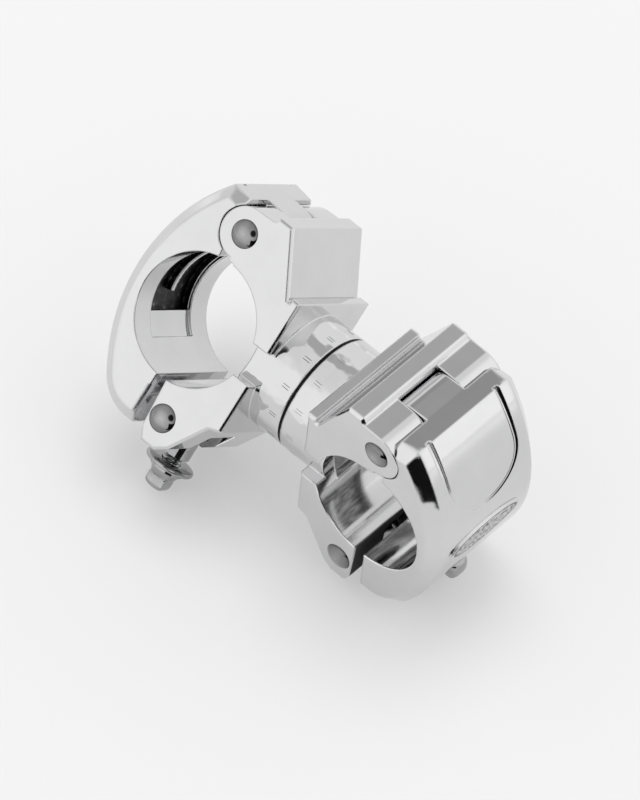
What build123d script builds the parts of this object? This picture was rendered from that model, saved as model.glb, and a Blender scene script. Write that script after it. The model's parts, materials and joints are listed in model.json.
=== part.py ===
from build123d import *
from math import cos, radians, sin
import os

# Swivel clamp for two rack tubes. Millimetres, +Z up.
# The origin is the centre of the right tube seat. +X runs along the swivel barrel,
# from the left clamp to the right one, and +Y along the right tube.
# One clamp is drawn once, in its own frame: x away from the barrel, y along its tube,
# z towards its hinge. Both clamps are that drawing, set at the two ends of the barrel.

# Tube and seats
tube_diameter = 38.1
seat_clearance = 0.05
clamp_width = 43.0
barrel_length = 35.7
swivel_angle = 42.5

# Barrel and its swivel
barrel_diameter = 37.0
seam_ring_thickness = 1.0
seam_ring_inset = 0.3
seam_ring_width = 7.0
swivel_bolt_diameter = 6.0
bolt_head_diameter = 10.0
bolt_head_height = 4.0
bolt_socket_width = 5.0
bolt_socket_depth = 2.4
hardware_bore_diameter = 12.4
hardware_bore_floor = 3.4
disc_spring_diameter = 11.8
disc_spring_thickness = 2.4
nut_width = 10.0
nut_height = 4.0
bolt_end_beyond_nut = 0.8

# Pocket cored in the saddle
saddle_pocket_width = 27.0
saddle_pocket_height = 17.0
saddle_pocket_depth = 5.5
saddle_lip_x = -1.0

# Hinge of the cap
hinge_x = 1.0
hinge_height = 28.3
knuckle_radius = 7.8
knuckle_gap = 0.4
tongue_width = 15.4
tongue_side_gap = 0.3
shut_angle = 4.0
cap_head_room = 0.4

# Box that carries the knuckles
box_top_height = 38.2
box_top_front = -5.4
knuckle_step_x = -4.2
box_top_back = -10.4
box_foot_back = -20.6
box_foot_height = 21.0
knuckle_step_height = 36.3
rail_back = -24.3
rail_top = 22.2
rail_width = 3.2
plate_foot_height = 5.2
plate_bevel = 0.8

# Ear that carries the screw
screw_pivot_x = -7.4
screw_pivot_drop = 28.3
ear_back = -24.4
ear_top_drop = 5.6
ear_corner_drop = 21.3
ear_waist_x = -20.6
ear_waist_drop = 22.8
ear_foot_x = -13.4
ear_foot_drop = 34.6
ear_bottom_back_x = -9.8
ear_bottom_front_x = -4.8
ear_bottom_drop = 37.3
ear_slot_side_gap = 0.3
ear_web_gap = 1.0

# Rivets
rivet_diameter = 5.0
rivet_head_diameter = 8.3
rivet_head_height = 1.5
rivet_flat_diameter = 5.0
rivet_hole_clearance = 0.03
running_clearance = 0.05

# Cap
cap_face_x = 1.2
parting_clearance = 0.1
cap_seat_top_x = 2.6
cap_shoulder_x = 6.2
cap_shoulder_height = 36.4
cap_face_top_height = 32.4
cap_crown_x = 12.6
cap_crown_height = 37.2
cap_crown_out_angle = 39.0
cap_bulge_x = 25.2
cap_bulge_height = 1.0
cap_lower_x = 15.5
cap_lower_drop = 29.5
cap_lower_out_angle = -45.0
cap_foot_x = 4.0
cap_bottom_drop = 35.6
cap_side_bevel = 3.4
tongue_root_x = 12.2
tongue_root_height = 30.2
tongue_foot_x = 6.6
tongue_foot_inset = 1.0
cap_pocket_width = 24.0
cap_pocket_wall = 3.0
cap_pocket_low_angle = -28.0
cap_pocket_high_angle = 66.0
cap_rib_thickness = 1.6
cap_rib_foot_angle = -12.0
cap_rib_drop = 0.8
cap_channel_depth = 0.8
cap_channel_foot_angle = -50.0
shield_width = 25.6
shield_bottom_height = 10.6
groove_width = 1.5
groove_depth = 1.1
badge_length = 28.0
badge_width = 9.0
badge_height = 0.6
badge_drop = 3.0

# Screw, its nut and its washer
eye_diameter = 8.6
neck_diameter = 8.6
neck_reach = 12.4
screw_diameter = 6.0
screw_tip_reach = 4.6
screw_slot_clearance = 0.4
washer_diameter = 15.0
washer_thickness = 1.5
washer_bore_clearance = 0.1
washer_reach = 15.0
collar_diameter = 10.6
collar_thickness = 1.3
cone_length = 2.0
cone_step = 0.6
key_neck_diameter = 7.4
key_width = 6.35
key_length = 4.4
key_corner_diameter = 8.4
key_corner_chamfer = 0.9
cap_screw_face_x = 5.8
cap_recess_clearance = 1.2
left_screw_out = 0.0
right_screw_out = 3.0
right_screw_hang = 0.0
left_screw_hang = 90.0

# Sizes that follow from those above
seat_radius = tube_diameter / 2 + seat_clearance
half_width = clamp_width / 2
barrel_radius = barrel_diameter / 2
half_seam = seam_ring_thickness / 2
tongue_slot = tongue_width + 2 * tongue_side_gap
eye_width = tongue_slot - 2 * ear_slot_side_gap
pocket_floor_x = -(seat_radius + saddle_pocket_depth)
screw_slot_width = neck_diameter + 2 * screw_slot_clearance
cap_recess_diameter = washer_diameter + 2 * cap_recess_clearance
far = 4 * clamp_width
edge_tolerance = 0.01


def turned(x, z, angle):
    """A point of the profile turned about the hinge; a positive angle opens the cap."""
    dx = x - hinge_x
    dz = z - hinge_height
    c = cos(radians(angle))
    s = sin(radians(angle))
    return (hinge_x + dx * c - dz * s, hinge_height + dx * s + dz * c)


def around_hinge(radius, angle):
    """A point of the profile at a radius and an angle from the hinge axis."""
    return (hinge_x + radius * cos(radians(angle)), hinge_height + radius * sin(radians(angle)))


def pushed(x, z, angle, distance):
    """A point of the profile moved by a distance towards an angle."""
    return (x + distance * cos(radians(angle)), z + distance * sin(radians(angle)))


def slab(outline, half):
    """A closed profile in x and z made as thick as the clamp is along its tube."""
    return extrude(Plane.XZ * make_face(outline), half, both=True)


def bevelled(plate):
    """A plate with bevels along the side edges that stay on the outside of the casting."""
    side = [e for e in plate.edges()
            if abs(abs(e.center().Y) - half_width) < edge_tolerance
            and e.center().X < saddle_lip_x - 2 * plate_bevel
            and Vector(e.center().X, 0, e.center().Z).length > seat_radius + plate_bevel]
    return chamfer(side, plate_bevel)


def bar_along_y(x, z, radius, half):
    return Pos(x, 0, z) * Rot(90, 0, 0) * Cylinder(radius, 2 * half)


def bar_along_x(x0, x1, z, radius):
    return Pos((x0 + x1) / 2, 0, z) * Rot(0, 90, 0) * Cylinder(radius, x1 - x0)


def block(x0, x1, y0, y1, z0, z1):
    return Pos((x0 + x1) / 2, (y0 + y1) / 2, (z0 + z1) / 2) * Box(x1 - x0, y1 - y0, z1 - z0)


def knuckle_box():
    """Box, rail and knuckles above the barrel, before the slot for the cap's tongue."""
    outline = Polyline(
        (0, plate_foot_height),
        (rail_back, plate_foot_height),
        (rail_back, rail_top),
        (rail_back + rail_width, rail_top),
        (rail_back + rail_width, box_foot_height),
        (box_foot_back, box_foot_height),
        (box_top_back, box_top_height),
        (box_top_front, box_top_height),
        (knuckle_step_x, knuckle_step_height),
        around_hinge(knuckle_radius, 90),
        (hinge_x, seat_radius),
        (0, plate_foot_height),
    )
    box = bevelled(slab(outline, half_width))
    return box + bar_along_y(hinge_x, hinge_height, knuckle_radius, half_width)


def screw_ear():
    """Ear below the barrel, before the slot for the screw."""
    parting_top = turned(cap_face_x - parting_clearance, -ear_top_drop, -shut_angle)
    parting_foot = turned(cap_face_x - parting_clearance, -cap_bottom_drop, -shut_angle)
    foot_z = -ear_foot_drop
    outline = Polyline(
        (parting_foot[0], foot_z),
        parting_top,
        (ear_back, parting_top[1]),
        (ear_back, -ear_corner_drop),
        (ear_waist_x, -ear_waist_drop),
        (ear_foot_x, foot_z),
        (ear_bottom_back_x, -ear_bottom_drop),
        (ear_bottom_front_x, -ear_bottom_drop),
        (parting_foot[0], foot_z),
    )
    return bevelled(slab(outline, half_width))


def tongue_cut():
    """Room in the body for the cap's tongue: a round floor, and an open front."""
    half = tongue_slot / 2
    swing = bar_along_y(hinge_x, hinge_height, knuckle_radius + knuckle_gap, half)
    front = block(knuckle_step_x, far, -half, half, hinge_height, far)
    below = block(hinge_x, far, -half, half, 0, hinge_height)
    return swing + front + below


def screw_cut():
    """Room in the ear for the eye nut, open outwards, downwards and to the back."""
    half = tongue_slot / 2
    radius = eye_diameter / 2 + ear_web_gap
    swing = bar_along_y(screw_pivot_x, -screw_pivot_drop, radius, half)
    below = block(-far, far, -half, half, -far, -screw_pivot_drop)
    front = block(screw_pivot_x, far, -half, half, -screw_pivot_drop, -screw_pivot_drop + radius)
    return swing + below + front


def clamp_body():
    """Casting with half of the barrel, the saddle, the knuckles and the ear."""
    barrel = bar_along_x(-barrel_length + half_seam, 0, 0, barrel_radius)
    body = barrel + knuckle_box() + screw_ear()
    seat = bar_along_y(0, 0, seat_radius, far)
    body -= seat
    parting_x = turned(cap_face_x - parting_clearance, 0, -shut_angle)[0]
    body -= block(parting_x, far, -far, far, -seat_radius, 0)
    body -= block(saddle_lip_x, far, -far, far, 0, seat_radius + cap_head_room)
    body -= tongue_cut()
    body -= screw_cut()
    pocket_half = saddle_pocket_width / 2
    body -= block(pocket_floor_x, 0, -pocket_half, pocket_half,
                  -saddle_pocket_height / 2, saddle_pocket_height / 2)
    bore_floor_x = -barrel_length + half_seam + hardware_bore_floor
    body -= bar_along_x(bore_floor_x, 0, 0, hardware_bore_diameter / 2)
    body -= bar_along_x(-far, 0, 0, swivel_bolt_diameter / 2 + running_clearance)
    body -= bar_along_y(hinge_x, hinge_height, rivet_diameter / 2 + rivet_hole_clearance, far)
    body -= bar_along_y(screw_pivot_x, -screw_pivot_drop, rivet_diameter / 2 + rivet_hole_clearance, far)
    return body


def cap_outline(grow):
    """Outer outline of the cap, pushed outwards by grow."""
    foot = (cap_foot_x, -cap_bottom_drop - grow)
    lower = pushed(cap_lower_x, -cap_lower_drop, cap_lower_out_angle, grow)
    crown = pushed(cap_crown_x, cap_crown_height, cap_crown_out_angle, grow)
    side = ThreePointArc(crown, (cap_bulge_x + grow, cap_bulge_height), lower)
    bottom = TangentArc(lower, foot, tangent=side % 1)
    return side + bottom + Polyline(
        foot,
        (cap_face_x, -cap_bottom_drop),
        (cap_face_x, 0),
        (cap_shoulder_x, cap_face_top_height),
        (cap_shoulder_x, cap_shoulder_height),
        crown,
    )


def shield(half):
    """The shield's shape seen along x, as a long bar: a round foot and straight sides."""
    middle = shield_bottom_height + shield_width / 2
    foot = Pos(far / 2, 0, middle) * Rot(0, 90, 0) * Cylinder(half, far)
    return foot + block(0, far, -half, half, middle, far)


def shield_groove():
    """Groove round the shield, deepest at the crown; it fades out below the shield's foot."""
    band = shield(shield_width / 2 + groove_width) - shield(shield_width / 2)
    crown = pushed(cap_crown_x, cap_crown_height, cap_crown_out_angle, -groove_depth)
    floor = ThreePointArc(crown, (cap_bulge_x, cap_bulge_height), (cap_lower_x, -cap_lower_drop))
    below = Polyline((cap_lower_x, -cap_lower_drop), (0, -cap_lower_drop), (0, far), (crown[0], far), crown)
    return band - slab(floor + below, half_width)


def cap_badge():
    """Bare oval plate, cast on the outside of the cap."""
    oval = Plane.YZ * Pos(0, -badge_drop) * Ellipse(badge_length / 2, badge_width / 2)
    return slab(cap_outline(badge_height), badge_length) & extrude(oval, far)


def clamp_cap():
    """Hinged cap with its tongue, its seat and the slot for the screw."""
    cap = slab(cap_outline(0), half_width)
    rim = [e for e in cap.edges().filter_by(GeomType.CIRCLE)
           if abs(abs(e.center().Y) - half_width) < edge_tolerance]
    top = [e for e in cap.edges().filter_by(GeomType.LINE)
           if abs(abs(e.center().Y) - half_width) < edge_tolerance
           and e.center().X > cap_shoulder_x and e.center().Z > tongue_root_height]
    cap = chamfer(rim + top, cap_side_bevel)
    cap -= shield_groove()
    cap += cap_badge()
    tongue_half = tongue_width / 2
    tongue = slab(Polyline(
        around_hinge(knuckle_radius, 90),
        (cap_shoulder_x, cap_shoulder_height),
        (tongue_root_x, tongue_root_height),
        (tongue_foot_x, seat_radius - tongue_foot_inset),
        around_hinge(knuckle_radius, 270),
        around_hinge(knuckle_radius, 90),
    ), tongue_half)
    cheek_room = bar_along_y(hinge_x, hinge_height, knuckle_radius + knuckle_gap, far)
    cheek_room += block(-far, cap_seat_top_x, -far, far, 0, hinge_height)
    cap -= cheek_room
    cap += tongue + bar_along_y(hinge_x, hinge_height, knuckle_radius, tongue_half)
    cap -= bar_along_y(0, 0, seat_radius, far)
    cap -= bar_along_y(hinge_x, hinge_height, rivet_diameter / 2 + running_clearance, far)
    cap -= cap_pocket()
    cap -= cap_screw_slot()
    return cap


def seat_sector(radius, low, high, half):
    """A sector round the seat's axis, between two angles."""
    low_corner = (far * cos(radians(low)), far * sin(radians(low)))
    high_corner = (far * cos(radians(high)), far * sin(radians(high)))
    wedge = slab(Polyline((0, 0), low_corner, high_corner, (0, 0)), half)
    return wedge & bar_along_y(0, 0, radius, half)


def cap_pocket():
    """Hollow cored in the upper half of the cap's seat, its rib, and the channel below it."""
    half = cap_pocket_width / 2
    low = cap_pocket_low_angle
    hollow = seat_sector(seat_radius + cap_pocket_wall, low, cap_pocket_high_angle, half)
    rib = seat_sector(far / 2, cap_rib_foot_angle, cap_pocket_high_angle, cap_rib_thickness / 2)
    rib -= bar_along_y(0, 0, seat_radius + cap_rib_drop, far)
    channel = seat_sector(seat_radius + cap_channel_depth, cap_channel_foot_angle, low, half)
    return (hollow - rib) + channel


def cap_screw_slot():
    """Slot for the eye nut's neck, and the flat face that the washer presses."""
    half = screw_slot_width / 2
    z = -screw_pivot_drop
    slot = block(-far, far, -half, half, -far, z) + bar_along_x(-far, far, z, half)
    wide = cap_recess_diameter / 2
    recess = block(cap_screw_face_x, far, -wide, wide, -far, z)
    return slot + recess + bar_along_x(cap_screw_face_x, far, z, wide)


def rivet(x, z):
    """Solid rivet across the clamp, with a blunt head at each end."""
    rim = rivet_head_diameter / 2
    top = half_width + rivet_head_height
    outline = Polyline(
        (0, -top),
        (rivet_flat_diameter / 2, -top),
        (rim, -half_width),
        (rivet_diameter / 2, -half_width),
        (rivet_diameter / 2, half_width),
        (rim, half_width),
        (rivet_flat_diameter / 2, top),
        (0, top),
        (0, -top),
    )
    return Pos(x, 0, z) * revolve(make_face(outline), Axis.Y)


def eye_nut():
    """Eye on the screw's rivet, with a threaded neck; it points along +x."""
    eye = bar_along_y(0, 0, eye_diameter / 2, eye_width / 2)
    nut = eye + bar_along_x(0, neck_reach, 0, neck_diameter / 2)
    nut -= bar_along_x(0, far, 0, screw_diameter / 2 + running_clearance)
    return nut - bar_along_y(0, 0, rivet_diameter / 2 + running_clearance, far)


def screw_washer():
    ring = bar_along_x(washer_reach, washer_reach + washer_thickness, 0, washer_diameter / 2)
    return ring - bar_along_x(0, far, 0, screw_diameter / 2 + washer_bore_clearance)


def key_screw():
    """Screw with a collar, a cone and the square head that a drum key turns."""
    collar_x = washer_reach + washer_thickness
    cone_x = collar_x + collar_thickness
    key_x = cone_x + cone_length
    screw = bar_along_x(screw_tip_reach, collar_x, 0, screw_diameter / 2)
    screw += bar_along_x(collar_x, cone_x, 0, collar_diameter / 2)
    cone = Cone(collar_diameter / 2 - cone_step, key_neck_diameter / 2, cone_length)
    screw += Pos((cone_x + key_x) / 2, 0, 0) * Rot(0, 90, 0) * cone
    key = block(key_x, key_x + key_length, -key_width / 2, key_width / 2, -key_width / 2, key_width / 2)
    rounding = bar_along_x(key_x, key_x + key_length, 0, key_corner_diameter / 2)
    rounding = chamfer(rounding.edges().group_by(Axis.X)[-1], key_corner_chamfer)
    return screw + (key & rounding)


def seam_ring():
    """Friction ring between the two halves of the barrel."""
    outer = barrel_radius - seam_ring_inset
    ring = bar_along_x(-half_seam, half_seam, 0, outer)
    return ring - bar_along_x(-half_seam, half_seam, 0, outer - seam_ring_width)


def disc_spring(x0):
    ring = bar_along_x(x0, x0 + disc_spring_thickness, 0, disc_spring_diameter / 2)
    return ring - bar_along_x(-far, far, 0, swivel_bolt_diameter / 2 + rivet_hole_clearance)


def swivel_bolt(head_x, end_x):
    """Socket bolt that holds the two castings together; its head is at +x."""
    head = bar_along_x(head_x, head_x + bolt_head_height, 0, bolt_head_diameter / 2)
    socket = Plane.YZ * RegularPolygon(bolt_socket_width / 2, 6, major_radius=False)
    head -= Pos(head_x + bolt_head_height - bolt_socket_depth, 0, 0) * extrude(socket, bolt_head_height)
    return head + bar_along_x(end_x, head_x, 0, swivel_bolt_diameter / 2)


def swivel_nut(x0):
    nut = extrude(Plane.YZ * RegularPolygon(nut_width / 2, 6, major_radius=False), nut_height)
    nut = Pos(x0, 0, 0) * nut
    return nut - bar_along_x(-far, far, 0, swivel_bolt_diameter / 2 + rivet_hole_clearance)


# Places of the two clamps in the part's frame
seam_x = -barrel_length
right_place = Location((0, 0, 0))
left_place = Pos(2 * seam_x, 0, 0) * Rot(-swivel_angle, 0, 0) * Rot(0, 0, 180)


def at_screw(piece, hang, out):
    """Sets a screw piece on its rivet, turned down by hang and moved out along its axis."""
    return Pos(screw_pivot_x, 0, -screw_pivot_drop) * Rot(0, hang, 0) * Pos(out, 0, 0) * piece


parts = {}
for side, place, hang, out in (
    ("left", left_place, left_screw_hang, left_screw_out),
    ("right", right_place, right_screw_hang, right_screw_out),
):
    parts[side + "_clamp_body"] = place * clamp_body()
    parts[side + "_clamp_cap"] = place * clamp_cap()
    parts[side + "_hinge_rivet"] = place * rivet(hinge_x, hinge_height)
    parts[side + "_screw_rivet"] = place * rivet(screw_pivot_x, -screw_pivot_drop)
    parts[side + "_eye_nut"] = place * at_screw(eye_nut(), hang, 0)
    parts[side + "_screw_washer"] = place * at_screw(screw_washer(), hang, out)
    parts[side + "_key_screw"] = place * at_screw(key_screw(), hang, out)

# Swivel hardware, stacked outwards from the two bore floors
head_x = half_seam + hardware_bore_floor
spring_x = -head_x - disc_spring_thickness
nut_x = spring_x - nut_height
at_seam = Pos(seam_x, 0, 0)
parts["seam_ring"] = at_seam * seam_ring()
parts["swivel_bolt"] = at_seam * swivel_bolt(head_x, nut_x - bolt_end_beyond_nut)
parts["disc_spring"] = at_seam * disc_spring(spring_x)
parts["swivel_nut"] = at_seam * swivel_nut(nut_x)

os.makedirs("parts", exist_ok=True)
for name, solid in parts.items():
    export_step(solid, "parts/" + name + ".step")
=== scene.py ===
import json
import math

import bmesh
import bpy
from mathutils import Matrix, Vector


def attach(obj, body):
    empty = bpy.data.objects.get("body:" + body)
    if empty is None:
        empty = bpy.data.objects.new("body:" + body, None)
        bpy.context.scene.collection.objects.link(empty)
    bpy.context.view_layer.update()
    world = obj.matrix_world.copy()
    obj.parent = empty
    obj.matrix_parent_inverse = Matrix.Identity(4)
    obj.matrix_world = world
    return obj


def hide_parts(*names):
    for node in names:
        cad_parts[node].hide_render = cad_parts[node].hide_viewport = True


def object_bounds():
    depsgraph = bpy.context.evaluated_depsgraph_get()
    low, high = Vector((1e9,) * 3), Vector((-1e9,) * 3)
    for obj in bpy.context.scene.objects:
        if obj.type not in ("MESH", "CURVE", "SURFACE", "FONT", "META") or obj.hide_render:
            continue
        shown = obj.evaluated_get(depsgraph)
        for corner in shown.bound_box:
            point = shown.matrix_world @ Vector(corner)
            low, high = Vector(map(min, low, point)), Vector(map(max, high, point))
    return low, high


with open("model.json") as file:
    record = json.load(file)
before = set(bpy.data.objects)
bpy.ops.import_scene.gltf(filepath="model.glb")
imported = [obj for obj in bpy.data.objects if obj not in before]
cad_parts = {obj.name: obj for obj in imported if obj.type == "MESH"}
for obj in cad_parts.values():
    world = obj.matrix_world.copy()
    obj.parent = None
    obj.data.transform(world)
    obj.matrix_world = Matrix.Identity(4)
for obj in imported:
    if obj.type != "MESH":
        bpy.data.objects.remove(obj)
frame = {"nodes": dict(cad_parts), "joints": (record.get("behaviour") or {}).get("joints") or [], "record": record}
cad_low, cad_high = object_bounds()
nodes = frame["nodes"]
joints = {joint["name"]: joint for joint in frame["joints"]}
mounts = {mount["name"]: mount for mount in frame["record"]["mounts"]}

# Places in metres that the frame gives; the right clamp lies in the part's own frame
MM = 0.001
HINGE = Vector(joints["right_cap_hinge"]["pos_m"])
SCREW_PIVOT = Vector(joints["right_screw_swing"]["pos_m"])
SEAM_X = joints["swivel"]["pos_m"][0]
SEAT_RADIUS = mounts["right_tube_seat"]["dims"]["r_mm"] * MM
LEFT_TUBE = Vector(mounts["left_tube_seat"]["axis"])
SWIVEL_ANGLE = math.atan2(-LEFT_TUBE.z, LEFT_TUBE.y)

RIGHT = Matrix.Identity(4)
LEFT = (Matrix.Translation((2 * SEAM_X, 0.0, 0.0)) @ Matrix.Rotation(-SWIVEL_ANGLE, 4, "X")
        @ Matrix.Rotation(math.pi, 4, "Z"))
PLACES = {"left": LEFT, "right": RIGHT}

# Casting: where its details lie in a clamp's own frame, how far past a face its mask reaches, how round
# the edges look, and how much stronger the barrel's ripple is than the other waves
BARREL_RADIUS = 18.5 * MM
BARREL_END = -20.0 * MM
HALF_WIDTH = 21.5 * MM
BODY_POCKET_MOUTH = -19.2 * MM
BODY_POCKET_HALF_WIDTH = 13.7 * MM
BODY_POCKET_HALF_HEIGHT = 8.7 * MM
GAP_FACE_X = -1.265 * MM
GAP_FACE_Z = -5.52 * MM
GAP_FACE_LEAN = 0.072
GAP_FACE_TOP = -19.1 * MM
CAP_SKIN_RADIUS = 22.6 * MM
CAP_POCKET_MOUTH = 20.0 * MM
CAP_POCKET_FLOOR = 22.5 * MM
CAP_POCKET_HALF_WIDTH = 12.2 * MM
CAP_POCKET_START = 4.0 * MM
KNUCKLE_REACH = 8.6 * MM
RIM_START = 15.2 * MM
SHIELD_RADIUS = 12.8 * MM
SHIELD_CENTRE_Z = 23.4 * MM
GROOVE_LINES = ((-0.06 * MM, 0.74 * MM), (1.05 * MM, 1.62 * MM))
GROOVE_START_X = 11.0 * MM
GROOVE_START_Y = -2.0 * MM
GROOVE_START_Z = 6.0 * MM
BADGE_Z = -3.0 * MM
BADGE_HALF_LENGTH = 14.0 * MM
BADGE_HALF_HEIGHT = 4.5 * MM
BADGE_FIELD = 0.86
BADGE_BORDER = (0.83, 0.94)
MASK_MARGIN = 0.4 * MM
EDGE_ROUNDING = 0.8 * MM
RIM_ROUNDING = 2.2 * MM
BARREL_RIPPLE = 8.0

# Rivets: a straight pin with a domed head at each side
PIN_RADIUS = 2.5 * MM
HEAD_RADIUS = 4.15 * MM
HEAD_HEIGHT = 1.5 * MM
HEAD_LIP = 0.06 * MM
HEAD_ROUNDNESS = 0.82
HEAD_STEPS = 10

# Screw and washer: each side's angle in degrees at rest and how far it is out, then places along it,
# measured from the axis that it swings on
SCREW_REST = {"left": (90.0, 0.0), "right": (0.0, 3.0 * MM)}
SCREW_TIP = 4.6 * MM
SCREW_TIP_RADIUS = 2.5 * MM
SCREW_TIP_CHAMFER = 0.1 * MM
THREAD_PITCH = 1.0 * MM
THREAD_RADIUS = 3.0 * MM
THREAD_DEPTH = 0.42 * MM
THREAD_ROWS_PER_TURN = 8
WASHER_PLACE = 15.0 * MM
WASHER_THICKNESS = 1.5 * MM
COLLAR_PLACE = WASHER_PLACE + WASHER_THICKNESS

# Outlines in millimetres from the washer's or the collar's inner face: place, radius
WASHER_OUTLINE = ((0.0, 3.1), (0.0, 6.9), (0.12, 7.25), (0.4, 7.45), (0.75, 7.5), (1.1, 7.45),
                  (1.34, 7.25), (1.46, 6.9), (1.46, 3.1))
COLLAR_AND_CONE = ((0.0, 5.1), (0.2, 5.3), (1.1, 5.3), (1.3, 5.1), (1.3, 4.7), (3.2, 3.75))
# The same for the square head: place, half width, sharpness of its corners
SQUARE_HEAD = ((3.35, 3.45, 3.0), (3.6, 3.2, 6.0), (4.1, 3.17, 8.0), (5.6, 3.17, 8.0), (6.2, 3.08, 7.0),
               (6.8, 2.82, 5.0), (7.25, 2.4, 3.6), (7.55, 1.75, 2.6), (7.68, 0.95, 2.0))
HEAD_END = 7.7

# Setting marks: where a side's pairs lie along the barrel from its seam, in millimetres, and the first
# pair's angle, in degrees from +Y towards +Z; a pair's two lines stand half the spread to either side
MARKS = {"left": (-4.6, -2.0, 16.5), "right": (2.6, 5.3, 27.5)}
MARK_PAIRS = 12
MARK_SPREAD = 2.7
MARK_TAPER = 0.25 * MM
MARK_HALF_WIDTH = 0.13 * MM
MARK_HEIGHT = 0.018 * MM
MARK_EDGE_DEPTH = 0.04 * MM
MARK_MIDDLE_DEPTH = 0.08 * MM

# Points round a rivet, a screw and a washer, and the angle from which an edge looks sharp
RIVET_POINTS = 56
SCREW_POINTS = 32
WASHER_POINTS = 64
SHARP_EDGE = math.radians(40.0)

# Camera: what it aims at, from how far, and its angles in degrees, as the photograph was taken;
# the sensor is in millimetres
CAMERA_AIM = Vector((-36.09, -1.06, -2.38)) * MM
CAMERA_DISTANCE = 2.5
CAMERA_AZIMUTH = 37.438
CAMERA_ELEVATION = 53.582
CAMERA_ROLL = 6.981
CAMERA_TURN = (Matrix.Rotation(math.radians(CAMERA_AZIMUTH), 4, "Z")
               @ Matrix.Rotation(math.radians(90.0 - CAMERA_ELEVATION), 4, "X")
               @ Matrix.Rotation(math.radians(CAMERA_ROLL), 4, "Z"))
CAMERA_BACK = CAMERA_TURN.to_3x3() @ Vector((0.0, 0.0, 1.0))
FOCAL_PIXELS = 9000.0
IMAGE_WIDTH = 640.0
SENSOR_WIDTH = 36.0

# Studio, in metres and degrees; the flag's angles run from -Y towards +X
FLOOR_HALF_SIZE = 6.0
FLOOR_DROP = 0.3 * MM
GLOW_RADII = (0.2, 1.1)
LAMP_PLACE = (-0.24, 0.30, 1.3)
LAMP_SIZE = 0.8
LAMP_WATTS = 5.2
FLAG_RADII = (0.18, 0.55)
FLAG_EDGE_HEIGHT = 0.30
FLAG_START = 8.0
FLAG_SWEEP = 78.0
FLAG_STEPS = 12
FLAG_STEPS_WITHOUT_EDGE = 2

# Light tent: its grey by height, and its patches by aim, inner and outer angle in degrees, and grey
TENT_STRENGTH = 1.25
TENT_LEVELS = ((0.0, 0.80), (0.3, 0.82), (0.7, 0.84), (1.0, 0.72))
TENT_PATCHES = {
    "high on the right": ((0.60, 0.47, 0.65), 8, 34, 0.98),
    "wall on the left": ((-0.85, 0.28, 0.35), 14, 34, 0.74),
    "dim roof": ((-0.36, 0.47, 0.80), 8, 14, 0.44),
    "dimmer spot in the roof": ((-0.548, 0.471, 0.690), 4, 10, 0.32),
    "front left": ((-0.36, -0.84, 0.40), 16, 40, 0.95),
    "front right": ((0.36, -0.88, 0.30), 20, 40, 0.96),
    "low on the left": ((-0.96, -0.22, -0.02), 16, 38, 0.72),
    "low on the right": ((0.88, 0.47, 0.10), 5, 15, 1.02),
    "opening for the camera": (CAMERA_BACK, 13, 19, 0.03)}


# Node helpers

def new_material(name):
    material = bpy.data.materials.new(name)
    material.use_nodes = True
    tree = material.node_tree
    return material, tree, tree.nodes["Principled BSDF"]


def feed(tree, socket, value):
    """Links a socket to value, or sets it where value is a plain number or colour."""
    if isinstance(value, bpy.types.NodeSocket):
        tree.links.new(value, socket)
    else:
        socket.default_value = value


def finish_shader(tree, shader, looks):
    """Links or sets each of the shader's inputs that looks names."""
    for name, value in looks.items():
        feed(tree, shader.inputs[name], value)


def calc(tree, operation, *values):
    node = tree.nodes.new("ShaderNodeMath")
    node.operation = operation
    for socket, value in zip(node.inputs, values):
        feed(tree, socket, value)
    return node.outputs[0]


def noise(tree, vector, scale, detail=3.0, roughness=0.5):
    node = tree.nodes.new("ShaderNodeTexNoise")
    node.inputs["Scale"].default_value = scale
    node.inputs["Detail"].default_value = detail
    node.inputs["Roughness"].default_value = roughness
    tree.links.new(vector, node.inputs["Vector"])
    return node.outputs["Fac"]


def grey(value, tint=1.0):
    return (value, value, value * tint, 1.0)


def ramp(tree, value, *stops):
    """Colours by value; each stop is a place and a colour, or a place and a grey."""
    node = tree.nodes.new("ShaderNodeValToRGB")
    elements = node.color_ramp.elements
    colors = [(place, grey(color) if isinstance(color, float) else color) for place, color in stops]
    elements[0].position, elements[0].color = colors[0]
    elements[1].position, elements[1].color = colors[-1]
    for place, color in colors[1:-1]:
        elements.new(place).color = color
    tree.links.new(value, node.inputs["Fac"])
    return node.outputs["Color"]


def to_range(tree, value, low, high):
    node = tree.nodes.new("ShaderNodeMapRange")
    feed(tree, node.inputs["To Min"], low)
    feed(tree, node.inputs["To Max"], high)
    feed(tree, node.inputs["Value"], value)
    return node.outputs["Result"]


def rise(tree, value, start, end):
    """0 before start, 1 past end, smooth between; start may be the larger one."""
    node = tree.nodes.new("ShaderNodeMapRange")
    node.interpolation_type = "SMOOTHSTEP"
    low, high = min(start, end), max(start, end)
    node.inputs["From Min"].default_value = low
    node.inputs["From Max"].default_value = high
    node.inputs["To Min"].default_value = 0.0 if start < end else 1.0
    node.inputs["To Max"].default_value = 1.0 if start < end else 0.0
    tree.links.new(value, node.inputs["Value"])
    return node.outputs["Result"]


def above(tree, value, limit, fade):
    """0 up to limit and 1 from fade above it."""
    return rise(tree, value, limit, limit + fade)


def below(tree, value, limit, fade):
    """0 down to limit and 1 from fade below it."""
    return rise(tree, value, limit, limit - fade)


def both(tree, *masks):
    result = masks[0]
    for mask in masks[1:]:
        result = calc(tree, "MULTIPLY", result, mask)
    return result


def between(tree, value, low, high, fade):
    """1 between low and high, and 0 outside them."""
    return both(tree, above(tree, value, low, fade), below(tree, value, high, fade))


def blend(tree, mask, under, over):
    node = tree.nodes.new("ShaderNodeMix")
    node.data_type = "RGBA"
    feed(tree, node.inputs["Factor"], mask)
    feed(tree, node.inputs[6], under)
    feed(tree, node.inputs[7], over)
    return node.outputs[2]


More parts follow.
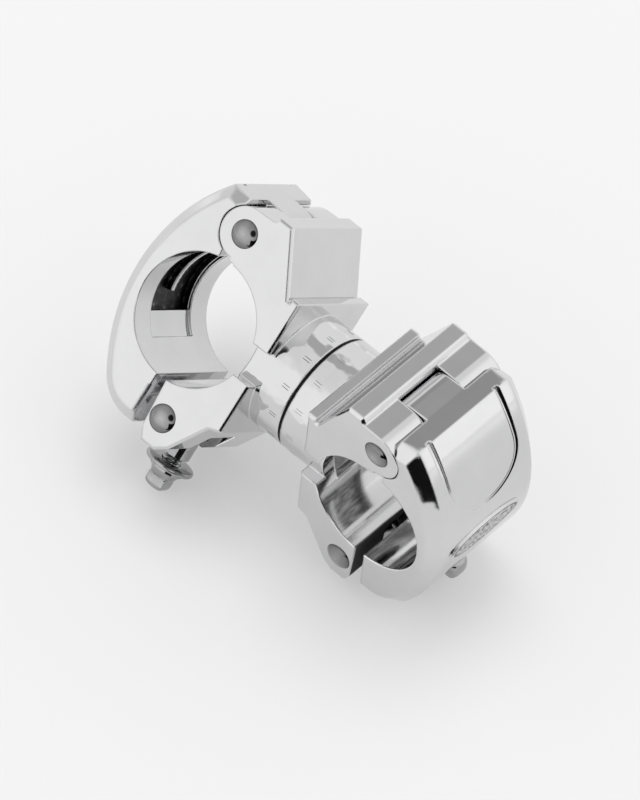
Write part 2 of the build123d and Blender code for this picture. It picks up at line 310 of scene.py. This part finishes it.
def coat(tree, under, mask, share, over):
    """Covers under where mask is 1, at most to the given share."""
    return blend(tree, calc(tree, "MULTIPLY", mask, share), under, over)


def bump(tree, height, strength, distance, before=None):
    node = tree.nodes.new("ShaderNodeBump")
    node.inputs["Strength"].default_value = strength
    node.inputs["Distance"].default_value = distance
    tree.links.new(height, node.inputs["Height"])
    if before is not None:
        tree.links.new(before, node.inputs["Normal"])
    return node.outputs["Normal"]


def object_coordinates(tree):
    return tree.nodes.new("ShaderNodeTexCoord").outputs["Object"]


def split(tree, vector):
    node = tree.nodes.new("ShaderNodeSeparateXYZ")
    tree.links.new(vector, node.inputs[0])
    return node.outputs


def clamp_coordinates(tree, side):
    """x, y and z in a clamp's own frame: away from the barrel, along its tube, to its hinge."""
    back = PLACES[side].inverted()
    node = tree.nodes.new("ShaderNodeMapping")
    node.inputs["Location"].default_value = back.translation
    node.inputs["Rotation"].default_value = back.to_euler("XYZ")
    tree.links.new(object_coordinates(tree), node.inputs["Vector"])
    return split(tree, node.outputs["Vector"])


def reach(tree, first, second):
    """Distance from the axis that the two coordinates are measured from."""
    squares = calc(tree, "ADD", calc(tree, "POWER", first, 2.0), calc(tree, "POWER", second, 2.0))
    return calc(tree, "SQRT", squares)


def reach_from(tree, x, z, axis):
    """Distance from an axis along the clamp's tube."""
    return reach(tree, calc(tree, "SUBTRACT", x, axis.x), calc(tree, "SUBTRACT", z, axis.z))


# Masks of the castings

def seat_mask(tree, from_seat):
    return below(tree, from_seat, SEAT_RADIUS + MASK_MARGIN, fade=0.3 * MM)


def body_masks(tree, x, y, z):
    """The body's cored pocket, its barrel, its seat, and its face in the gap to the cap, where shade is painted.
    """
    side = calc(tree, "ABSOLUTE", y)
    height = calc(tree, "ABSOLUTE", z)
    cored = both(tree, below(tree, x, BODY_POCKET_MOUTH, fade=0.6 * MM),
                 below(tree, side, BODY_POCKET_HALF_WIDTH, fade=0.2 * MM),
                 below(tree, height, BODY_POCKET_HALF_HEIGHT, fade=0.2 * MM))
    barrel = both(tree, below(tree, reach(tree, y, z), BARREL_RADIUS + MASK_MARGIN, fade=0.3 * MM),
                  below(tree, x, BARREL_END, fade=1.0 * MM))
    lean = calc(tree, "MULTIPLY", calc(tree, "SUBTRACT", z, GAP_FACE_Z), GAP_FACE_LEAN)
    from_face = calc(tree, "SUBTRACT", calc(tree, "SUBTRACT", x, GAP_FACE_X), lean)
    gap_shade = both(tree, below(tree, calc(tree, "ABSOLUTE", from_face), 0.45 * MM, fade=0.2 * MM),
               below(tree, z, GAP_FACE_TOP, fade=0.4 * MM),
               below(tree, side, HALF_WIDTH - 0.6 * MM, fade=0.4 * MM))
    return {"cored": cored, "barrel": barrel, "seat": seat_mask(tree, reach(tree, x, z)), "gap_shade": gap_shade}


def groove_shade_mask(tree, x, y, z):
    """Two lines of painted shade along the groove round the shield; they fade out at its round lower end and
    towards -y.
    """
    below_centre = calc(tree, "MINIMUM", calc(tree, "SUBTRACT", z, SHIELD_CENTRE_Z), 0.0)
    from_shield = calc(tree, "SUBTRACT", reach(tree, y, below_centre), SHIELD_RADIUS)
    inner, outer = [between(tree, from_shield, low, high, fade=0.1 * MM) for low, high in GROOVE_LINES]
    return both(tree, calc(tree, "ADD", inner, outer), above(tree, x, GROOVE_START_X, fade=2.0 * MM),
                above(tree, y, GROOVE_START_Y, fade=7.0 * MM), above(tree, z, GROOVE_START_Z, fade=3.0 * MM))


def cap_masks(tree, x, y, z):
    """The cap's cored pocket, seat, rounded rim, painted shade along the shield's groove, and its badge's field
    and border.
    """
    side = calc(tree, "ABSOLUTE", y)
    from_seat = reach(tree, x, z)
    outside = above(tree, from_seat, CAP_SKIN_RADIUS, fade=0.6 * MM)
    cored = both(tree, above(tree, from_seat, CAP_POCKET_MOUTH, fade=0.4 * MM),
                 below(tree, from_seat, CAP_POCKET_FLOOR, fade=0.2 * MM),
                 below(tree, side, CAP_POCKET_HALF_WIDTH, fade=0.2 * MM),
                 above(tree, x, CAP_POCKET_START, fade=2.0 * MM))
    rim = both(tree, outside, above(tree, side, RIM_START, fade=1.0 * MM),
               above(tree, reach_from(tree, x, z, HINGE), KNUCKLE_REACH, fade=4.4 * MM))
    oval_y = calc(tree, "DIVIDE", y, BADGE_HALF_LENGTH)
    oval_z = calc(tree, "DIVIDE", calc(tree, "SUBTRACT", z, BADGE_Z), BADGE_HALF_HEIGHT)
    oval = reach(tree, oval_y, oval_z)
    return {"cored": cored, "seat": seat_mask(tree, from_seat), "rim": rim,
            "groove_shade": both(tree, groove_shade_mask(tree, x, y, z), outside),
            "field": both(tree, below(tree, oval, BADGE_FIELD, fade=0.04), outside),
            "border": both(tree, between(tree, oval, *BADGE_BORDER, fade=0.03), outside)}


# Materials

def body_color(tree, side, masks, plate, skin):
    """Plate, with grey rough casting in the pocket and, on the right, painted shade on the face in the gap."""
    hollow = ramp(tree, skin, (0.30, 0.34), (0.48, 0.64), (0.70, 0.80))
    color = blend(tree, masks["cored"], plate, hollow)
    if side == "right":
        # Painted shade: the right body's face in the gap to the cap is painted near black
        color = coat(tree, color, masks["gap_shade"], share=0.92, over=grey(0.015))
    return color


def cap_color(tree, side, masks, plate, skin):
    """Plate, with its pocket painted dark as shade on the left and lighter on the right, painted shade lines along
    the groove, and the badge's border and stippled field.
    """
    # Painted shade in the pocket: near black on the left cap; the right cap's is painted lighter so that the
    # body's seat mirrors it lighter
    if side == "right":
        hollow = ramp(tree, skin, (0.42, 0.10), (0.55, 0.34), (0.72, 0.60))
    else:
        hollow = ramp(tree, skin, (0.42, 0.006), (0.60, 0.035), (0.72, 0.30))
    stipple = noise(tree, object_coordinates(tree), 900.0, detail=3.0, roughness=0.6)
    color = blend(tree, masks["cored"], plate, hollow)
    # Painted shade: the groove's two near black lines
    color = coat(tree, color, masks["groove_shade"], share=0.98, over=grey(0.008))
    color = coat(tree, color, masks["border"], share=0.9, over=grey(0.05))
    return coat(tree, color, masks["field"], share=0.9,
                over=ramp(tree, stipple, (0.40, 0.04), (0.49, 0.50), (0.70, 0.66)))


def casting_roughness(tree, masks, where):
    """Nearly smooth chrome, duller in the hollows and on the badge's field."""
    result = to_range(tree, noise(tree, where, 240.0, detail=5.0, roughness=0.65), 0.03, 0.09)
    for name, dullness in (("cored", 0.30), ("field", 0.22), ("seat", 0.03)):
        if name in masks:
            result = calc(tree, "ADD", result, calc(tree, "MULTIPLY", masks[name], dullness))
    return result


def casting_relief(tree, masks, where, skin):
    """Rounded edges, long waves, coarse pits in the hollows and a fine grain over all."""
    edge = tree.nodes.new("ShaderNodeBevel")
    edge.samples = 8
    rounding = EDGE_ROUNDING
    if "rim" in masks:
        rounding = to_range(tree, masks["rim"], EDGE_ROUNDING, RIM_ROUNDING)
    feed(tree, edge.inputs["Radius"], rounding)
    swell = calc(tree, "SUBTRACT", noise(tree, where, 90.0, detail=2.0, roughness=0.4), 0.5)
    height = calc(tree, "MULTIPLY", swell, to_range(tree, masks["seat"], 1.0, 0.25))
    if "barrel" in masks:
        ripple = calc(tree, "SUBTRACT", noise(tree, where, 230.0, detail=1.0, roughness=0.4), 0.5)
        depth = calc(tree, "MULTIPLY", masks["barrel"], BARREL_RIPPLE)
        height = calc(tree, "ADD", height, calc(tree, "MULTIPLY", ripple, depth))
    pitted = masks["cored"]
    if "field" in masks:
        pitted = calc(tree, "ADD", pitted, masks["field"])
    pits = calc(tree, "MULTIPLY", skin, pitted)
    grain = noise(tree, where, 2600.0, detail=2.0, roughness=0.5)
    waves = bump(tree, height, strength=0.35, distance=0.12 * MM, before=edge.outputs["Normal"])
    coarse = bump(tree, pits, strength=0.7, distance=0.35 * MM, before=waves)
    return bump(tree, grain, strength=0.05, distance=0.01 * MM, before=coarse)


def casting_material(side, form):
    """Chrome plate on a zinc casting, with its waves, pits, haze and rough cored hollows."""
    material, tree, shader = new_material(side + "_" + form + "_chrome")
    where = object_coordinates(tree)
    find_masks, find_color = {"body": (body_masks, body_color), "cap": (cap_masks, cap_color)}[form]
    masks = find_masks(tree, *clamp_coordinates(tree, side))
    haze = noise(tree, where, 55.0, detail=4.0, roughness=0.6)
    skin = noise(tree, where, 420.0, detail=6.0, roughness=0.65)
    plate = ramp(tree, haze, (0.3, grey(0.62, tint=1.01)), (0.75, grey(0.67, tint=1.005)))
    color = find_color(tree, side, masks, plate, skin)
    # Painted light: the right clamp's seats are painted lighter than the left's, a lit copy of the same chrome
    if side == "right":
        color = coat(tree, color, masks["seat"], share=0.8, over=grey(0.86))
    metallic = 1.0
    if form == "body":
        # The pocket is mostly bare grey metal, and the right body's face in the gap is painted shade that mirrors
        # nothing
        bare = calc(tree, "MULTIPLY", masks["cored"], 0.65)
        if side == "right":
            bare = calc(tree, "ADD", bare, masks["gap_shade"])
            feed(tree, shader.inputs["Specular IOR Level"], to_range(tree, masks["gap_shade"], 0.5, 0.0))
        metallic = to_range(tree, bare, 1.0, 0.0)
    finish_shader(tree, shader, {
        "Base Color": color,
        "Metallic": metallic,
        "Roughness": casting_roughness(tree, masks, where),
        "Normal": casting_relief(tree, masks, where, skin)})
    return material


def steel_material(name, low, high, smooth, rough):
    """Plain steel with a fine grain and faint stains, its greys from low to high."""
    material, tree, shader = new_material(name)
    where = object_coordinates(tree)
    stain = noise(tree, where, 320.0, detail=5.0, roughness=0.6)
    rub = noise(tree, where, 300.0, detail=3.0, roughness=0.5)
    grain = noise(tree, where, 1800.0, detail=3.0, roughness=0.6)
    finish_shader(tree, shader, {
        "Base Color": ramp(tree, stain, (0.3, grey(low, tint=1.02)), (0.7, grey(high, tint=1.01))),
        "Metallic": 1.0,
        "Roughness": to_range(tree, rub, smooth, rough),
        "Normal": bump(tree, grain, strength=0.25, distance=0.01 * MM)})
    return material


def rivet_material(side):
    """Plain steel rivet: its crown is painted bright as a highlight, and its rim is painted dark as shade."""
    material, tree, shader = new_material(side + "_rivet_steel")
    where = object_coordinates(tree)
    x, _, z = clamp_coordinates(tree, side)
    from_axes = [reach_from(tree, x, z, axis) for axis in (HINGE, SCREW_PIVOT)]
    from_crown = calc(tree, "DIVIDE", calc(tree, "MINIMUM", *from_axes), HEAD_RADIUS)
    # Painted highlight on the crown, fading to painted shade at the rim
    painted_highlight_and_shade = ramp(tree, from_crown, (0.0, 0.46), (0.35, 0.34), (0.75, 0.22), (0.90, 0.14), (0.97, 0.02))
    stain = noise(tree, where, 420.0, detail=4.0, roughness=0.6)
    rub = noise(tree, where, 300.0, detail=3.0, roughness=0.5)
    dents = noise(tree, where, 700.0, detail=3.0, roughness=0.6)
    finish_shader(tree, shader, {
        "Base Color": blend(tree, 0.35, painted_highlight_and_shade, ramp(tree, stain, (0.3, 0.20), (0.7, 0.34))),
        "Metallic": 1.0,
        "Roughness": to_range(tree, rub, 0.05, 0.14),
        "Normal": bump(tree, dents, strength=0.3, distance=0.03 * MM)})
    return material


def ring_material():
    """Black friction ring: dull, with a fine moulded grain."""
    material, tree, shader = new_material("friction_ring")
    where = object_coordinates(tree)
    stain = noise(tree, where, 500.0, detail=4.0, roughness=0.6)
    finish_shader(tree, shader, {
        "Base Color": ramp(tree, stain, (0.3, 0.004), (0.7, 0.012)),
        "Roughness": to_range(tree, noise(tree, where, 900.0), 0.35, 0.55),
        "Specular IOR Level": 0.06,
        "Normal": bump(tree, noise(tree, where, 2400.0), strength=0.3, distance=0.03 * MM)})
    return material


def floor_material():
    """Pale table top that glows a little, and more so far from the part."""
    material, tree, shader = new_material("studio_floor")
    where = object_coordinates(tree)
    x, y, _ = split(tree, where)
    stain = noise(tree, where, 1.5, detail=2.0, roughness=0.5)
    far = rise(tree, reach(tree, x, y), *GLOW_RADII)
    finish_shader(tree, shader, {
        "Base Color": ramp(tree, stain, (0.2, 0.505), (0.8, 0.515)),
        "Emission Color": grey(1.0),
        "Emission Strength": to_range(tree, far, 0.31, 0.60),
        "Roughness": 0.8,
        "Specular IOR Level": 0.0})
    return material


def flag_material():
    """Black card that gives no shine."""
    material, tree, shader = new_material("black_flag")
    fibre = noise(tree, object_coordinates(tree), 40.0)
    finish_shader(tree, shader, {
        "Base Color": ramp(tree, fibre, (0.0, 0.004), (1.0, 0.01)),
        "Roughness": 0.9,
        "Specular IOR Level": 0.0})
    return material


screw_steel = steel_material("screw_steel", 0.32, 0.44, 0.06, 0.15)
# Painted shade: the swivel's bolt, spring and nut are made near black so the hole round the bolt's head reads dark
swivel_hardware_painted_shade = steel_material("swivel_hardware_painted_shade", 0.012, 0.05, 0.35, 0.55)
mark_steel = {"left": steel_material("mark_dark", 0.05, 0.12, 0.30, 0.45),
              "right": steel_material("mark_faint", 0.26, 0.36, 0.30, 0.45)}
rivet_steel = {side: rivet_material(side) for side in PLACES}


# Shapes

def ring_turns(count):
    """Evenly spaced angles of a ring's points."""
    return [2 * math.pi * step / count for step in range(count)]


def circle(x, radius, count):
    """Points of a ring round local x; a ring of no radius is one point."""
    if radius == 0.0:
        return [(x, 0.0, 0.0)]
    return [(x, radius * math.cos(turn), radius * math.sin(turn)) for turn in ring_turns(count)]


def square(x, half, power, count):
    """Points of a square ring with round corners; a higher power makes them sharper."""
    points = []
    for turn in ring_turns(count):
        across, up = math.cos(turn), math.sin(turn)
        radius = half / (abs(across) ** power + abs(up) ** power) ** (1 / power)
        points.append((x, radius * across, radius * up))
    return points


def skin_over(rows, loop=False):
    """A closed surface over rings of points; with loop, the last ring meets the first."""
    shape = bmesh.new()
    rings = [[shape.verts.new(point) for point in row] for row in rows]
    pairs = list(zip(rings, rings[1:])) + ([(rings[-1], rings[0])] if loop else [])
    for first, second in pairs:
        for step in range(max(len(first), len(second))):
            corners = []
            for vert in (first[step % len(first)], first[(step + 1) % len(first)],
                         second[(step + 1) % len(second)], second[step % len(second)]):
                if vert not in corners:
                    corners.append(vert)
            shape.faces.new(corners)
    return shape


def add_object(name, data):
    obj = bpy.data.objects.new(name, data)
    bpy.context.scene.collection.objects.link(obj)
    return obj


def dress(obj, material):
    obj.data.materials.clear()
    obj.data.materials.append(material)


def add_mesh_object(name, shape, material):
    mesh = bpy.data.meshes.new(name)
    shape.to_mesh(mesh)
    shape.free()
    obj = add_object(name, mesh)
    dress(obj, material)
    return obj


def piece(name, shape, place, material, body):
    """Turns a shape into a smooth shaded object that rides on a body."""
    bmesh.ops.recalc_face_normals(shape, faces=shape.faces[:])
    for face in shape.faces:
        face.smooth = True
    for edge in shape.edges:
        if len(edge.link_faces) == 2 and edge.calc_face_angle() > SHARP_EDGE:
            edge.smooth = False
    shape.transform(place)
    obj = add_mesh_object(name, shape, material)
    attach(obj, body)
    return obj


# Rivets, screws, washers and marks

def dome(sign):
    """Outline of a rivet's round head, from its rim to its crown."""
    points = [(sign * HALF_WIDTH, HEAD_RADIUS)]
    for step in range(HEAD_STEPS + 1):
        radius = HEAD_RADIUS * math.cos(0.5 * math.pi * step / HEAD_STEPS)
        lift = HEAD_HEIGHT * (1 - (radius / HEAD_RADIUS) ** 2) ** HEAD_ROUNDNESS
        points.append((sign * (HALF_WIDTH + HEAD_LIP * (1 - step / HEAD_STEPS) + lift), radius))
    points[-1] = (points[-1][0], 0.0)
    return points


def build_rivet(side, node, at):
    """Rivet across the casting, along local x before it is turned into the tube's direction."""
    outline = dome(-1.0)[::-1] + [(-HALF_WIDTH, PIN_RADIUS), (HALF_WIDTH, PIN_RADIUS)] + dome(1.0)
    shape = skin_over([circle(x, radius, RIVET_POINTS) for x, radius in outline])
    place = PLACES[side] @ Matrix.Translation(at) @ Matrix.Rotation(0.5 * math.pi, 4, "Z")
    obj = piece(side + "_domed_" + node, shape, place, rivet_steel[side], side + "_clamp")
    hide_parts(side + "_" + node)


def screw_place(side):
    """A side's screw at rest: turned about the axis that it swings on, then moved out along itself."""
    hang, out = SCREW_REST[side]
    return (PLACES[side] @ Matrix.Translation(SCREW_PIVOT)
            @ Matrix.Rotation(math.radians(hang), 4, "Y") @ Matrix.Translation((out, 0.0, 0.0)))


def thread_rows(start, end):
    """Rings of a thread, deep enough to catch the light; it fades out over half a turn at each end."""
    rows = []
    steps = round((end - start) / (THREAD_PITCH / THREAD_ROWS_PER_TURN))
    for step in range(steps + 1):
        x = start + (end - start) * step / steps
        depth = THREAD_DEPTH * min(1.0, 2 * min(step, steps - step) / THREAD_ROWS_PER_TURN)
        row = []
        for turn in ring_turns(SCREW_POINTS):
            flank = abs(((x / THREAD_PITCH - turn / (2 * math.pi)) % 1.0) * 2 - 1)
            radius = THREAD_RADIUS - depth * flank
            row.append((x, radius * math.cos(turn), radius * math.sin(turn)))
        rows.append(row)
    return rows


def build_screw(side):
    """Screw with its thread, collar, cone and the rounded square head for a drum key."""
    rows = [circle(SCREW_TIP, 0.0, SCREW_POINTS), circle(SCREW_TIP, SCREW_TIP_RADIUS, SCREW_POINTS)]
    rows += thread_rows(SCREW_TIP + SCREW_TIP_CHAMFER, COLLAR_PLACE)
    for x, radius in COLLAR_AND_CONE:
        rows.append(circle(COLLAR_PLACE + x * MM, radius * MM, SCREW_POINTS))
    for x, half, power in SQUARE_HEAD:
        rows.append(square(COLLAR_PLACE + x * MM, half * MM, power, SCREW_POINTS))
    rows.append(circle(COLLAR_PLACE + HEAD_END * MM, 0.0, SCREW_POINTS))
    obj = piece(side + "_drum_key_screw", skin_over(rows), screw_place(side), screw_steel,
                side + "_screw")
    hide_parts(side + "_key_screw")


def build_washer(side):
    """Thick washer with a rolled rim, which stays just clear of the screw's collar."""
    rows = [circle(WASHER_PLACE + x * MM, radius * MM, WASHER_POINTS) for x, radius in WASHER_OUTLINE]
    obj = piece(side + "_rolled_washer", skin_over(rows, loop=True), screw_place(side),
                screw_steel, side + "_washer")
    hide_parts(side + "_screw_washer")


def add_stroke(shape, start, end, angle):
    """One mark along the barrel: a thin raised sliver, sunk at its edges and ends."""
    section = ((-1.0, -MARK_EDGE_DEPTH), (-0.5, MARK_HEIGHT), (0.5, MARK_HEIGHT), (1.0, -MARK_EDGE_DEPTH),
               (0.0, -MARK_MIDDLE_DEPTH))
    places = ((start, 0.1, -0.03), (start + MARK_TAPER, 1.0, 1.0), (end - MARK_TAPER, 1.0, 1.0),
              (end, 0.1, -0.03))
    rows = []
    for x, width, lift in places:
        row = []
        for across, up in section:
            turn = angle + across * width * MARK_HALF_WIDTH / BARREL_RADIUS
            radius = BARREL_RADIUS + (up * lift if up > 0 else up)
            row.append(shape.verts.new((x, radius * math.cos(turn), radius * math.sin(turn))))
        rows.append(row)
    for first, second in zip(rows, rows[1:]):
        for step in range(len(section)):
            after = (step + 1) % len(section)
            shape.faces.new((first[step], first[after], second[after], second[step]))
    shape.faces.new(rows[0])
    shape.faces.new(rows[-1])


def build_marks(side):
    """Pairs of setting marks, evenly spaced round this side's half of the barrel."""
    start, end, first_angle = MARKS[side]
    shape = bmesh.new()
    for step in range(MARK_PAIRS):
        middle = first_angle + 360.0 * step / MARK_PAIRS
        for shift in (-0.5 * MARK_SPREAD, 0.5 * MARK_SPREAD):
            add_stroke(shape, SEAM_X + start * MM, SEAM_X + end * MM, math.radians(middle + shift))
    piece(side + "_setting_marks", shape, RIGHT, mark_steel[side], side + "_clamp")


# Floor, light and camera

def build_floor():
    """Table top just below the part, wide enough for every view."""
    shape = bmesh.new()
    bmesh.ops.create_grid(shape, x_segments=2, y_segments=2, size=FLOOR_HALF_SIZE)
    floor = add_mesh_object("studio_floor", shape, floor_material())
    floor.location = (0.0, 0.0, cad_low[2] - FLOOR_DROP)


def build_flag():
    """Black card on the table and its raised edge: the chrome shows it, the camera doesn't."""
    shape = bmesh.new()
    near, far = FLAG_RADII
    rows = []
    for step in range(FLAG_STEPS + 1):
        angle = math.radians(FLAG_START + FLAG_SWEEP * step / FLAG_STEPS)
        east, south = math.sin(angle), -math.cos(angle)
        points = [(east * near, south * near, 0.0), (east * far, south * far, 0.0)]
        if step >= FLAG_STEPS_WITHOUT_EDGE:
            points.append((east * far, south * far, FLAG_EDGE_HEIGHT))
        rows.append([shape.verts.new(point) for point in points])
    for first, second in zip(rows, rows[1:]):
        shape.faces.new((first[0], first[1], second[1], second[0]))
        if len(first) == 3:
            shape.faces.new((first[1], first[2], second[2], second[1]))
    flag = add_mesh_object("black_flag", shape, flag_material())
    flag.location = (0.0, 0.0, cad_low[2] + MM)
    flag.visible_camera = False
    flag.visible_diffuse = False
    flag.visible_shadow = False


def tent_patch(tree, direction, aim, inner, outer, under, level):
    """Blends a grey level over what lies under it, inside a cone of directions."""
    dot = tree.nodes.new("ShaderNodeVectorMath")
    dot.operation = "DOT_PRODUCT"
    tree.links.new(direction, dot.inputs[0])
    dot.inputs[1].default_value = Vector(aim).normalized()
    edge, full = math.cos(math.radians(outer)), math.cos(math.radians(inner))
    return blend(tree, rise(tree, dot.outputs["Value"], edge, full), under, grey(level))


def build_tent():
    """A white light tent with brighter and dimmer patches, dark at the camera's opening."""
    world = bpy.data.worlds.new("light_tent")
    bpy.context.scene.world = world
    world.use_nodes = True
    tree = world.node_tree
    direction = tree.nodes.new("ShaderNodeTexCoord").outputs["Generated"]
    level = ramp(tree, split(tree, direction)["Z"], *TENT_LEVELS)
    for aim, inner, outer, patch_level in TENT_PATCHES.values():
        level = tent_patch(tree, direction, aim, inner, outer, level, patch_level)
    finish_shader(tree, tree.nodes["Background"], {"Color": level, "Strength": TENT_STRENGTH})


def build_lamp():
    """Soft lamp overhead: it lights the table, the chrome doesn't show it."""
    data = bpy.data.lights.new("overhead_lamp", "AREA")
    data.shape = "DISK"
    data.size = LAMP_SIZE
    data.energy = LAMP_WATTS
    lamp = add_object("overhead_lamp", data)
    lamp.location = LAMP_PLACE
    lamp.rotation_euler = (-Vector(LAMP_PLACE)).to_track_quat("-Z", "Y").to_euler()
    lamp.visible_glossy = False
    lamp.visible_camera = False


def build_camera():
    """Camera with a long lens, at the photograph's angle."""
    data = bpy.data.cameras.new("camera")
    data.sensor_fit = "HORIZONTAL"
    data.sensor_width = SENSOR_WIDTH
    data.lens = FOCAL_PIXELS * SENSOR_WIDTH / IMAGE_WIDTH
    data.clip_end = 20.0
    data.dof.use_dof = False
    camera = add_object("camera", data)
    camera.matrix_world = Matrix.Translation(CAMERA_AIM + CAMERA_DISTANCE * CAMERA_BACK) @ CAMERA_TURN
    bpy.context.scene.camera = camera


# Looks of the frame's own nodes

for side in PLACES:
    dress(nodes[side + "_clamp_body"], casting_material(side, "body"))
    dress(nodes[side + "_clamp_cap"], casting_material(side, "cap"))
    dress(nodes[side + "_eye_nut"], screw_steel)
dress(nodes["seam_ring"], ring_material())
# Painted shade: near black swivel hardware, so the bolt's hole reads dark
for name in ("swivel_bolt", "disc_spring", "swivel_nut"):
    dress(nodes[name], swivel_hardware_painted_shade)

# Finer pieces and the studio

for side in PLACES:
    build_rivet(side, "hinge_rivet", HINGE)
    build_rivet(side, "screw_rivet", SCREW_PIVOT)
    build_screw(side)
    build_washer(side)
for side in PLACES:
    build_marks(side)
build_floor()
build_flag()
build_tent()
build_lamp()
bpy.context.scene.view_settings.view_transform = "Standard"
build_camera()
